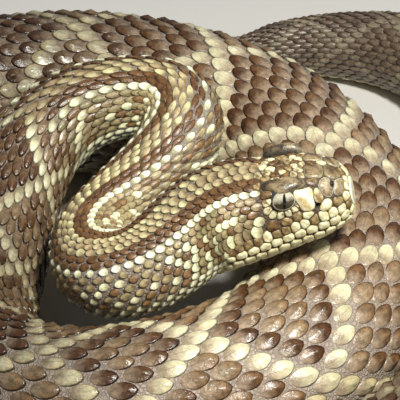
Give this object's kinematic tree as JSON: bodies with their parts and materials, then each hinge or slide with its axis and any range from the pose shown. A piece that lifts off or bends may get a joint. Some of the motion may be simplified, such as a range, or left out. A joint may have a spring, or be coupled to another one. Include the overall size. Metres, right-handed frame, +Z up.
{
  "type": "coiled rattlesnake",
  "caption": "Life-size still model of a rattlesnake lying in a flat coil, its neck folded back and its head resting on the inner turn, with the tail and rattle behind.",
  "frame": {"origin": "middle of the footprint's bounding box, on the floor that the belly lies on", "axes": "+Z up, +Y away from the viewer of the head's right side, +X to the right, the way the snout points"},
  "size_m": [0.2386, 0.2608, 0.065],
  "materials": {
    "scaled_skin": "keeled scales with a soft gloss, brown and tan rhombs edged in cream",
    "pale_scales": "smooth cream scales with a soft gloss",
    "eye_surface": "wet gloss",
    "rattle_horn": "dry horn"
  },
  "bodies": {
    "root": {"head": "scaled_skin", "lower_jaw": "pale_scales", "eye_left": "eye_surface", "eye_right": "eye_surface", "neck": "scaled_skin", "trunk_01": "scaled_skin", "trunk_02": "scaled_skin", "trunk_03": "scaled_skin", "trunk_04": "scaled_skin", "trunk_05": "scaled_skin", "trunk_06": "scaled_skin", "trunk_07": "scaled_skin", "trunk_08": "scaled_skin", "trunk_09": "scaled_skin", "trunk_10": "scaled_skin", "tail": "scaled_skin", "rattle": "rattle_horn"}
  },
  "joints": []
}
